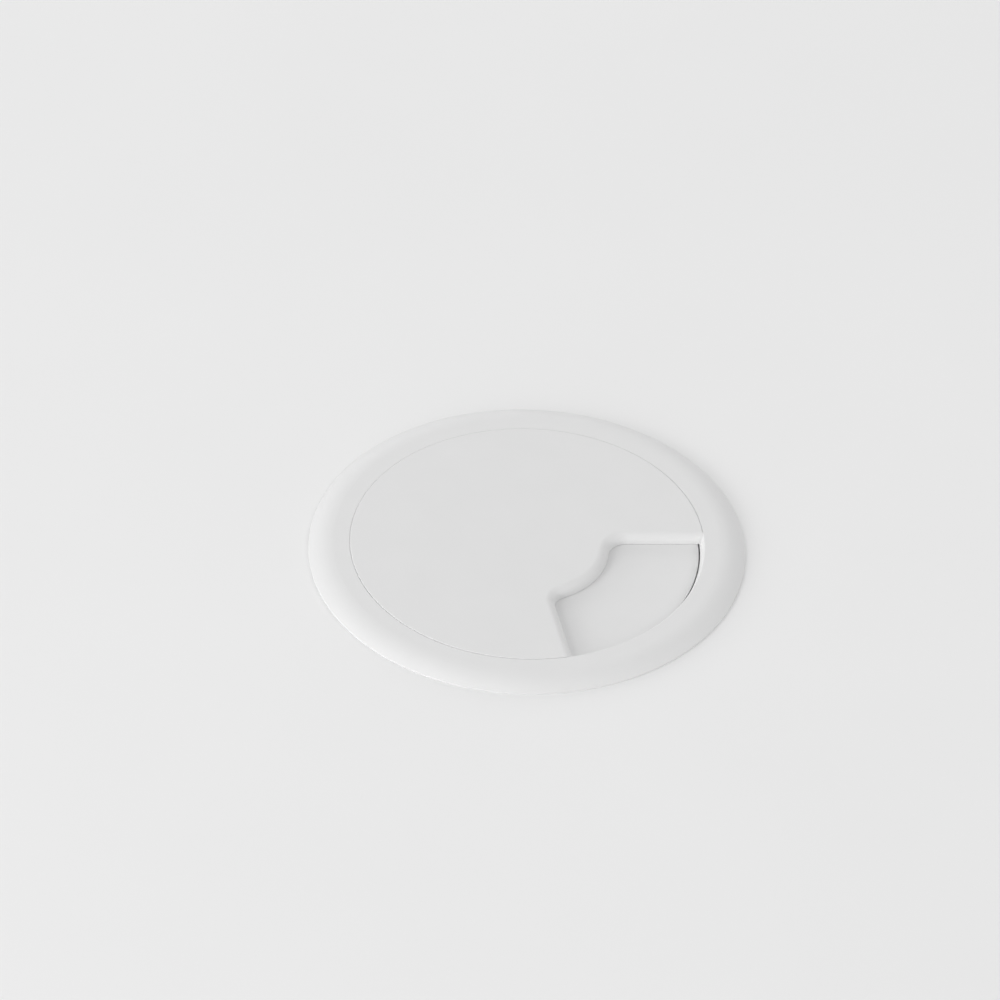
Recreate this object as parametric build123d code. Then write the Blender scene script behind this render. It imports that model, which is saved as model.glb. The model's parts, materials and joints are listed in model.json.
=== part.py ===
from build123d import *
import os
from math import radians, sin, tan

# Cable grommet for a round 80 mm hole in a desk top, in millimetres.
#
# Z = 0 is the desk's upper surface, +Z is up and the origin is the middle of the hole.
# The cable notch in the cap faces -Y. The liner is pushed into the hole. A shutter lies on
# the liner's ledge, keyed against turning, and the cap turns on the shutter: half a turn brings
# the cap's notch over the shutter's window and opens the way for cables. The whole cap unit
# lifts straight up out of the liner.

# ---- driving dimensions ----

HOLE_R = 40.0             # hole in the desk, and the liner's sleeve
FLANGE_R = 45.0
FLANGE_TOP = 2.15         # flat top of the flange above the desk
FLANGE_EDGE = 0.4         # height of the flange's rim where the crown ends
CROWN_START_R = 40.0      # the flange's top is flat from here inwards

SEAT_TOP_R = 36.55        # conical seat for the cap's rim, at the flange's top
SEAT_R = 35.75            # and where it turns cylindrical, level with the shutter's top
LIP_ROUND = 0.3           # rounded upper edge of the seat
SLEEVE_DEPTH = 20.0
SLEEVE_WALL = 2.0
SLEEVE_LEAD_IN = 0.8      # chamfer at the sleeve's lower end
LEDGE_R = 33.5
LEDGE_Z = -1.5
LEDGE_THICKNESS = 2.0
KEYWAYS = 12              # the cap unit can be set down in steps of 30 degrees
KEYWAY_WIDTH = 4.2
KEYWAY_DEPTH = 1.9        # cut radially into the ledge
GRIP_GROOVES = 12         # shallow flutes that let the sleeve give as it is pressed in
GRIP_GROOVE_WIDTH = 3.5
GRIP_GROOVE_DEPTH = 0.5

CAP_PROUD = 0.08          # the cap's top above the flange's
CAP_SEAT_CLEARANCE = 0.02
CAP_RIM_ROUND = 0.15
NOTCH_HUB_R = 16.9        # inner end of the notch, an arc about the grommet's axis
NOTCH_HALF_ANGLE = 39.6   # each side wall from the notch's middle line
NOTCH_SHIFT = 2.2         # the middle line runs parallel to -Y, this far to +X of the axis
NOTCH_CORNER_LEFT_R = 3.0   # plan radius where the -X side wall meets the hub arc
NOTCH_CORNER_RIGHT_R = 4.0  # and where the +X one does
NOTCH_TIP_R = 0.8         # plan radius where the side walls meet the cap's rim
NOTCH_EDGE_ROUND = 2.0    # rounded upper edge all along the notch

SHUTTER_R = 35.5
SHUTTER_THICKNESS = 1.6
SHUTTER_EDGE_ROUND = 0.15
LUG_ANGLES = (0, 180, 240, 300)
LUG_LENGTH = 1.4
LUG_WIDTH = 3.6
LUG_HEIGHT = 1.6
RIB_ANGLES = (0, 180, 225, 270, 315)
RIB_WIDTH = 1.2
RIB_HEIGHT = 2.0
RIB_END_R = 32.0

COLLAR_R = 7.0            # bearing under the shutter, around the cap's boss
COLLAR_BOTTOM = -5.3
BOSS_R = 4.5
BOSS_BOTTOM = -6.0
RUNNING_CLEARANCE = 0.05  # between boss and collar, and between cap and shutter
PILOT_R = 1.25
PILOT_TOP = 0.2

WASHER_R = 7.5
WASHER_HOLE_R = 1.7
WASHER_THICKNESS = 0.8
WAVE_WASHER_R = 6.8
WAVE_WASHER_HOLE_R = 4.8
WAVE_WASHER_THICKNESS = 0.3
WAVE_COUNT = 3
WAVE_CLEARANCE = 0.02
SCREW_ROOT_R = 1.25
SCREW_TIP_Z = -0.4
SCREW_HEAD_R = 3.0
SCREW_HEAD_HEIGHT = 2.1
RECESS_SPAN = 3.2
RECESS_WIDTH = 0.7
RECESS_DEPTH = 1.2

# ---- worked out from them ----

CAP_TOP = FLANGE_TOP + CAP_PROUD
SHUTTER_BOTTOM = LEDGE_Z
SHUTTER_TOP = SHUTTER_BOTTOM + SHUTTER_THICKNESS
CAP_BOTTOM = SHUTTER_TOP + RUNNING_CLEARANCE
CAP_THICKNESS = CAP_TOP - CAP_BOTTOM
SEAT_SLOPE = (SEAT_TOP_R - SEAT_R) / (FLANGE_TOP - SHUTTER_TOP)
SLEEVE_BORE_R = HOLE_R - SLEEVE_WALL
WASHER_BOTTOM = BOSS_BOTTOM - WASHER_THICKNESS
BEYOND = 60.0             # reaches past everything


def revolved(*lines):
    """Turns a closed outline of lines in the (radius, height) plane about Z."""
    return revolve(Plane.XZ * make_face(Curve() + list(lines)), Axis.Z)


def tube(outer_r, inner_r, bottom, top):
    return extrude(Pos(0, 0, bottom) * (Circle(outer_r) - Circle(inner_r)), top - bottom)


def notch_plan():
    """The notch seen from above: a wedge about -Y, cut off by the hub arc, with round corners."""
    half_width = BEYOND * tan(radians(NOTCH_HALF_ANGLE))
    wedge = make_face(Polyline((0, 0), (half_width, -BEYOND), (-half_width, -BEYOND), close=True))
    plan = Pos(NOTCH_SHIFT, 0) * wedge - Circle(NOTCH_HUB_R)
    plan = fillet(plan.vertices().sort_by(Axis.Y)[-2:].sort_by(Axis.X)[0], NOTCH_CORNER_LEFT_R)
    right_corner = plan.vertices().filter_by(lambda point: point.X > 0).sort_by(Axis.Y)[-1]
    return fillet(right_corner, NOTCH_CORNER_RIGHT_R)


def liner():
    ledge_bottom = LEDGE_Z - LEDGE_THICKNESS
    body = revolved(
        TangentArc((CROWN_START_R, FLANGE_TOP), (FLANGE_R, FLANGE_EDGE), tangent=(1, 0)),
        Polyline(
            (FLANGE_R, FLANGE_EDGE),
            (FLANGE_R, 0),
            (HOLE_R, 0),
            (HOLE_R, SLEEVE_LEAD_IN - SLEEVE_DEPTH),
            (HOLE_R - SLEEVE_LEAD_IN, -SLEEVE_DEPTH),
            (SLEEVE_BORE_R, -SLEEVE_DEPTH),
            (SLEEVE_BORE_R, ledge_bottom - SLEEVE_WALL),
            (SLEEVE_BORE_R - SLEEVE_WALL, ledge_bottom),
            (LEDGE_R, ledge_bottom),
            (LEDGE_R, LEDGE_Z),
            (SEAT_R, LEDGE_Z),
            (SEAT_R, SHUTTER_TOP),
            (SEAT_TOP_R, FLANGE_TOP),
            (CROWN_START_R, FLANGE_TOP),
        ),
    )
    lip = body.edges().filter_by_position(Axis.Z, FLANGE_TOP, FLANGE_TOP).sort_by(SortBy.RADIUS)[0]
    body = fillet(lip, LIP_ROUND)
    keyway = Pos(LEDGE_R, 0, LEDGE_Z) * Box(2 * KEYWAY_DEPTH, KEYWAY_WIDTH, 3 * LEDGE_THICKNESS)
    groove = Pos(HOLE_R, 0, -SLEEVE_DEPTH) * Box(
        2 * GRIP_GROOVE_DEPTH, GRIP_GROOVE_WIDTH, 2 * (SLEEVE_DEPTH - LEDGE_THICKNESS)
    )
    body -= PolarLocations(0, KEYWAYS) * keyway
    half_step = 180 / GRIP_GROOVES
    body -= PolarLocations(0, GRIP_GROOVES, start_angle=half_step) * groove
    return body


def cap_radius(height):
    """The cap's rim is a cone that turns inside the liner's conical seat."""
    return SEAT_R - CAP_SEAT_CLEARANCE + SEAT_SLOPE * (height - SHUTTER_TOP)


def cap():
    """The notch's edge is rounded on an oversize blank, which is then cut to the cap's own outline."""
    blank = extrude(Pos(0, 0, CAP_BOTTOM) * (Circle(BEYOND - 1) - notch_plan()), CAP_THICKNESS)
    upper = blank.edges().filter_by_position(Axis.Z, CAP_TOP, CAP_TOP)
    notch_edges = [edge for edge in upper if not is_rim(edge, BEYOND - 1)]
    blank = fillet(notch_edges, NOTCH_EDGE_ROUND)
    top_r = cap_radius(CAP_TOP)
    bottom_r = cap_radius(CAP_BOTTOM)
    outline = revolved(
        Polyline((0, CAP_TOP), (top_r, CAP_TOP), (bottom_r, CAP_BOTTOM), (0, CAP_BOTTOM), close=True)
    )
    outline = fillet(outline.edges().filter_by_position(Axis.Z, CAP_TOP, CAP_TOP), CAP_RIM_ROUND)
    plan = Circle(top_r) - notch_plan()
    plan = fillet(plan.vertices().sort_by(Axis.Y)[:2], NOTCH_TIP_R)
    disc = blank & outline & extrude(Pos(0, 0, CAP_BOTTOM) * plan, CAP_THICKNESS)
    disc += extrude(Pos(0, 0, BOSS_BOTTOM) * Circle(BOSS_R), CAP_BOTTOM - BOSS_BOTTOM)
    return disc - extrude(Pos(0, 0, BOSS_BOTTOM) * Circle(PILOT_R), PILOT_TOP - BOSS_BOTTOM)


def is_rim(edge, radius):
    """True for an arc of this radius."""
    return edge.geom_type == GeomType.CIRCLE and abs(edge.radius - radius) < 0.001


def shutter():
    """A disc with a window like the cap's notch, on the other side while the grommet is closed."""
    window = Rot(0, 0, 180) * notch_plan()
    plate = extrude(Pos(0, 0, SHUTTER_BOTTOM) * (Circle(SHUTTER_R) - window), SHUTTER_THICKNESS)
    edges = plate.edges().filter_by_position(Axis.Z, SHUTTER_TOP, SHUTTER_TOP)
    plate = fillet(edges, SHUTTER_EDGE_ROUND)
    plate += tube(COLLAR_R, BOSS_R, COLLAR_BOTTOM, SHUTTER_BOTTOM)
    lug_r = (LEDGE_R + SHUTTER_R) / 2
    lug = Pos(lug_r, 0, SHUTTER_BOTTOM - LUG_HEIGHT / 2) * Box(LUG_LENGTH, LUG_WIDTH, LUG_HEIGHT)
    rib_length = RIB_END_R - COLLAR_R + 1
    rib = Pos(RIB_END_R - rib_length / 2, 0, SHUTTER_BOTTOM - RIB_HEIGHT / 2) * Box(
        rib_length, RIB_WIDTH, RIB_HEIGHT
    )
    for angle in LUG_ANGLES:
        plate += Rot(0, 0, angle) * lug
    for angle in RIB_ANGLES:
        plate += Rot(0, 0, angle) * rib
    bearing = Circle(BOSS_R + RUNNING_CLEARANCE)
    return plate - extrude(Pos(0, 0, -BEYOND) * bearing, 2 * BEYOND)


def retaining_washer():
    return tube(WASHER_R, WASHER_HOLE_R, WASHER_BOTTOM, BOSS_BOTTOM)


def wave_washer():
    """A thin ring whose height runs through three waves, between the collar and the washer."""
    travel = COLLAR_BOTTOM - BOSS_BOTTOM - WAVE_WASHER_THICKNESS - 2 * WAVE_CLEARANCE
    middle = BOSS_BOTTOM + WAVE_CLEARANCE + travel / 2
    steps = 8 * WAVE_COUNT

    def wavy_circle(radius):
        points = []
        for step in range(steps):
            angle = 360 * step / steps
            height = middle + travel / 2 * sin(radians(WAVE_COUNT * angle))
            points.append(Vector(radius, 0, 0).rotate(Axis.Z, angle) + Vector(0, 0, height))
        return Edge.make_spline(points, periodic=True)

    ring = Face.make_surface_from_curves(wavy_circle(WAVE_WASHER_HOLE_R), wavy_circle(WAVE_WASHER_R))
    return extrude(ring, WAVE_WASHER_THICKNESS, dir=(0, 0, 1))


def pivot_screw():
    """Pan-head self-tapping screw, driven up into the cap's boss. Its thread is a plain shank."""
    head = extrude(Pos(0, 0, WASHER_BOTTOM - SCREW_HEAD_HEIGHT) * Circle(SCREW_HEAD_R), SCREW_HEAD_HEIGHT)
    head = fillet(head.edges().sort_by(Axis.Z)[0], SCREW_HEAD_HEIGHT * 0.6)
    shank = extrude(Pos(0, 0, WASHER_BOTTOM) * Circle(SCREW_ROOT_R), SCREW_TIP_Z - WASHER_BOTTOM)
    bar = Box(RECESS_SPAN, RECESS_WIDTH, 2 * RECESS_DEPTH)
    recess = Pos(0, 0, WASHER_BOTTOM - SCREW_HEAD_HEIGHT) * (bar + Rot(0, 0, 90) * bar)
    return head + shank - recess


os.makedirs("parts", exist_ok=True)
export_step(liner(), "parts/liner.step")
export_step(cap(), "parts/cap.step")
export_step(shutter(), "parts/shutter.step")
export_step(retaining_washer(), "parts/retaining_washer.step")
export_step(wave_washer(), "parts/wave_washer.step")
export_step(pivot_screw(), "parts/pivot_screw.step")
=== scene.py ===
"""Desk cable grommet, seated in a desk top, in metres. Z = 0 is the desk's upper surface."""

import json
import math

import bpy
from mathutils import Matrix, Vector


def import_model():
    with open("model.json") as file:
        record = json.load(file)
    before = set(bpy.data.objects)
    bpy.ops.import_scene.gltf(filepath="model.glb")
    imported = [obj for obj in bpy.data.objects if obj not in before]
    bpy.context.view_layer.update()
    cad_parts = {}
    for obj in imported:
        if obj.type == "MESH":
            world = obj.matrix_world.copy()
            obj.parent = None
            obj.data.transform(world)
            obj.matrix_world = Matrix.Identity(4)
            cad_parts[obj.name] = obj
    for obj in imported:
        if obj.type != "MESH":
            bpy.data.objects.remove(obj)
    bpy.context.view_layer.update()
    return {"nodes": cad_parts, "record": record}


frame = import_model()

# ---- camera ----
CAMERA_LENS = 300.0  # millimetres, like the sensor's width
CAMERA_SENSOR = 36.0
CAMERA_CLIP = (0.1, 20.0)  # nearest and farthest distance seen
CAMERA_DISTANCE = 1.730
CAMERA_AZIMUTH = -53.15  # degrees; 0 looks along +Y
CAMERA_ELEVATION = 40.15
CAMERA_ROLL = 1.83
CAMERA_AIM = (0.00905, 0.01410, 0.0)

# ---- light ----
WORLD_ABOVE = 0.53  # brightness of the surroundings above the desk, and below it
WORLD_BELOW = 0.35
WORLD_STEP = 0.02  # how far under the horizon the change takes, as the sine of the angle
SOFTBOX_DISTANCE = 1.6
# Azimuth 0 stands behind the grommet seen from the camera and 90 to its left; degrees and metres.
SOFTBOXES = (
    # name, azimuth, elevation, width, height, brightness
    ("left_high", 110.0, 38.0, 0.70, 0.35, 5.2),
    ("left", 125.0, 20.0, 0.70, 0.35, 5.7),
    ("back_left_low", 85.0, 14.0, 0.70, 0.35, 5.3),
    ("front_left_low", 154.0, 10.0, 1.20, 0.50, 3.9),
    ("behind", 10.0, 18.0, 1.80, 0.60, 1.6),
    ("right", 270.0, 42.0, 2.10, 0.72, 1.5),
)

# ---- desk top ----
DESK_REACH = 4.0  # radius of the round desk top
DESK_SIDES = 256
DESK_LIFT = 0.00001  # keeps the desk off the plane of the flange's underside
HOLE_CLEARANCE = 0.0002  # between the hole and the sleeve

# ---- colours and textures ----
DESK_COLOUR = (0.835, 0.835, 0.835)
PLASTIC_COLOUR = (0.74, 0.74, 0.74)
NOISE_LOW = 0.3  # noise mostly stays between these two values
NOISE_HIGH = 0.7
STEEL_ROUGHNESS_SWING = 0.06
TURNING_SCALE = 900.0  # of the wave texture that makes the turning marks
TURNING_DISTORTION = 0.6


def material(name):
    made = bpy.data.materials.new(name)
    made.use_nodes = True
    return made, made.node_tree.nodes, made.node_tree.links


def object_noise(nodes, links, scale, detail):
    """Noise fixed to the object, with about this many features to a metre."""
    place = nodes.new("ShaderNodeTexCoord")
    noise = nodes.new("ShaderNodeTexNoise")
    noise.inputs["Scale"].default_value = scale
    noise.inputs["Detail"].default_value = detail
    links.new(place.outputs["Object"], noise.inputs["Vector"])
    return noise.outputs["Fac"]


def spread(nodes, links, source, low, high):
    """Maps noise to a range of values."""
    made = nodes.new("ShaderNodeMapRange")
    made.inputs["From Min"].default_value = NOISE_LOW
    made.inputs["From Max"].default_value = NOISE_HIGH
    made.inputs["To Min"].default_value = low
    made.inputs["To Max"].default_value = high
    links.new(source, made.inputs["Value"])
    return made.outputs["Result"]


def blend_colours(nodes, links, source, first, second):
    """Maps noise to the colours between two."""
    made = nodes.new("ShaderNodeValToRGB")
    made.color_ramp.elements[0].position = NOISE_LOW
    made.color_ramp.elements[0].color = (*first, 1.0)
    made.color_ramp.elements[1].position = NOISE_HIGH
    made.color_ramp.elements[1].color = (*second, 1.0)
    links.new(source, made.inputs["Fac"])
    return made.outputs["Color"]


def bump(nodes, links, source, depth, under=None):
    """Height in metres from a source between 0 and 1, on top of another bump if one is given."""
    made = nodes.new("ShaderNodeBump")
    made.inputs["Distance"].default_value = depth
    links.new(source, made.inputs["Height"])
    if under is not None:
        links.new(under, made.inputs["Normal"])
    return made.outputs["Normal"]


def shades(colour, swing):
    """The colour a little darker, and a little lighter."""
    darker = tuple(channel * (1 - swing) for channel in colour)
    lighter = tuple(channel * (1 + swing) for channel in colour)
    return darker, lighter


def desk_material():
    """White laminate: an even tone with a very fine pearl texture, seen from above only."""
    made, nodes, links = material("desk_laminate")
    shader = nodes["Principled BSDF"]
    shader.inputs["Specular IOR Level"].default_value = 0.3
    cloud = object_noise(nodes, links, scale=14.0, detail=3.0)
    tone = blend_colours(nodes, links, cloud, *shades(DESK_COLOUR, swing=0.006))
    links.new(tone, shader.inputs["Base Color"])
    pearl = object_noise(nodes, links, scale=1800.0, detail=2.0)
    links.new(spread(nodes, links, pearl, low=0.52, high=0.62), shader.inputs["Roughness"])
    links.new(bump(nodes, links, pearl, depth=0.000004), shader.inputs["Normal"])
    facing = nodes.new("ShaderNodeNewGeometry")
    clear = nodes.new("ShaderNodeBsdfTransparent")
    mix = nodes.new("ShaderNodeMixShader")
    links.new(facing.outputs["Backfacing"], mix.inputs["Fac"])
    links.new(shader.outputs["BSDF"], mix.inputs[1])
    links.new(clear.outputs["BSDF"], mix.inputs[2])
    links.new(mix.outputs["Shader"], nodes["Material Output"].inputs["Surface"])
    return made


def white_plastic():
    """Moulded plastic: satin, with a fine spark-eroded grain and the faint waviness of moulding."""
    made, nodes, links = material("white_moulded_plastic")
    shader = nodes["Principled BSDF"]
    shader.inputs["Specular IOR Level"].default_value = 0.4
    cloud = object_noise(nodes, links, scale=110.0, detail=4.0)
    tone = blend_colours(nodes, links, cloud, *shades(PLASTIC_COLOUR, swing=0.007))
    links.new(tone, shader.inputs["Base Color"])
    grain = object_noise(nodes, links, scale=4200.0, detail=3.0)
    patches = object_noise(nodes, links, scale=420.0, detail=3.0)
    links.new(spread(nodes, links, patches, low=0.44, high=0.54), shader.inputs["Roughness"])
    wavy = bump(nodes, links, cloud, depth=0.000008)
    links.new(bump(nodes, links, grain, depth=0.000006, under=wavy), shader.inputs["Normal"])
    return made


def steel(name, first, second, roughness):
    """Plated or bare steel with fine turning marks round the axis and a faint blotchy tint."""
    made, nodes, links = material(name)
    shader = nodes["Principled BSDF"]
    shader.inputs["Metallic"].default_value = 1.0
    blotches = object_noise(nodes, links, scale=900.0, detail=3.0)
    links.new(blend_colours(nodes, links, blotches, first, second), shader.inputs["Base Color"])
    speckle = object_noise(nodes, links, scale=6000.0, detail=2.0)
    low = roughness - STEEL_ROUGHNESS_SWING
    high = roughness + STEEL_ROUGHNESS_SWING
    links.new(spread(nodes, links, speckle, low, high), shader.inputs["Roughness"])
    place = nodes.new("ShaderNodeTexCoord")
    turning = nodes.new("ShaderNodeTexWave")
    turning.wave_type = "RINGS"
    turning.rings_direction = "Z"
    turning.inputs["Scale"].default_value = TURNING_SCALE
    turning.inputs["Distortion"].default_value = TURNING_DISTORTION
    links.new(place.outputs["Object"], turning.inputs["Vector"])
    ridges = bump(nodes, links, turning.outputs["Fac"], depth=0.000008)
    links.new(bump(nodes, links, speckle, depth=0.000005, under=ridges), shader.inputs["Normal"])
    return made


def desk():
    """The desk's upper surface, with the hole that the grommet's sleeve is pushed into."""
    sleeve_r = frame["record"]["mounts"][0]["dims"]["r_mm"] / 1000
    points = []
    for radius in (DESK_REACH, sleeve_r + HOLE_CLEARANCE):
        for step in range(DESK_SIDES):
            turn = 2 * math.pi * step / DESK_SIDES
            points.append((radius * math.cos(turn), radius * math.sin(turn), DESK_LIFT))
    faces = []
    for here in range(DESK_SIDES):
        there = (here + 1) % DESK_SIDES
        faces.append((here, there, there + DESK_SIDES, here + DESK_SIDES))
    mesh = bpy.data.meshes.new("desk_top")
    mesh.from_pydata(points, [], faces)
    made = bpy.data.objects.new("desk_top", mesh)
    bpy.context.collection.objects.link(made)
    mesh.materials.append(desk_material())


def camera():
    data = bpy.data.cameras.new("camera")
    data.lens = CAMERA_LENS
    data.sensor_width = CAMERA_SENSOR
    data.clip_start, data.clip_end = CAMERA_CLIP
    made = bpy.data.objects.new("camera", data)
    bpy.context.collection.objects.link(made)
    turn = Matrix.Rotation(math.radians(CAMERA_AZIMUTH), 4, "Z")
    tilt = Matrix.Rotation(math.radians(90 - CAMERA_ELEVATION), 4, "X")
    roll = Matrix.Rotation(math.radians(CAMERA_ROLL), 4, "Z")
    aim = Matrix.Translation(CAMERA_AIM)
    made.matrix_world = aim @ turn @ tilt @ Matrix.Translation((0, 0, CAMERA_DISTANCE)) @ roll
    bpy.context.scene.camera = made


def softbox(name, azimuth, elevation, width, height, brightness):
    """A rectangular soft light that faces the grommet; brightness is on the world's scale."""
    data = bpy.data.lights.new(name, "AREA")
    data.shape = "RECTANGLE"
    data.size = width
    data.size_y = height
    data.energy = brightness * math.pi * width * height
    made = bpy.data.objects.new(name, data)
    bpy.context.collection.objects.link(made)
    turn = math.radians(azimuth + CAMERA_AZIMUTH + 90)
    rise = math.radians(elevation)
    away = Vector((math.cos(turn) * math.cos(rise), math.sin(turn) * math.cos(rise), math.sin(rise)))
    made.location = away * SOFTBOX_DISTANCE
    made.rotation_euler = away.to_track_quat("Z", "Y").to_euler()


def world():
    """Even white surroundings, darker below the desk than above it."""
    made = bpy.data.worlds.new("studio")
    made.use_nodes = True
    nodes, links = made.node_tree.nodes, made.node_tree.links
    place = nodes.new("ShaderNodeTexCoord")
    split = nodes.new("ShaderNodeSeparateXYZ")
    links.new(place.outputs["Generated"], split.inputs["Vector"])
    change = nodes.new("ShaderNodeMapRange")
    change.inputs["From Min"].default_value = -WORLD_STEP
    change.inputs["From Max"].default_value = 0.0
    change.inputs["To Min"].default_value = WORLD_BELOW
    change.inputs["To Max"].default_value = WORLD_ABOVE
    links.new(split.outputs["Z"], change.inputs["Value"])
    links.new(change.outputs["Result"], nodes["Background"].inputs["Strength"])
    nodes["Background"].inputs["Color"].default_value = (1.0, 1.0, 1.0, 1.0)
    bpy.context.scene.world = made


zinc = steel("zinc_plated_steel", (0.70, 0.72, 0.76), (0.80, 0.79, 0.76), roughness=0.3)
spring = steel("spring_steel", (0.40, 0.40, 0.43), (0.52, 0.50, 0.48), roughness=0.36)
finishes = {"white_plastic": white_plastic(), "zinc_plated_steel": zinc, "spring_steel": spring}
slot_of = {part["node"]: part["material_slot"] for part in frame["record"]["subparts"]}
for node, piece in frame["nodes"].items():
    piece.data.materials.clear()
    piece.data.materials.append(finishes[slot_of[node]])

bpy.context.scene.view_settings.view_transform = "Standard"
desk()
camera()
world()
for box in SOFTBOXES:
    softbox(*box)
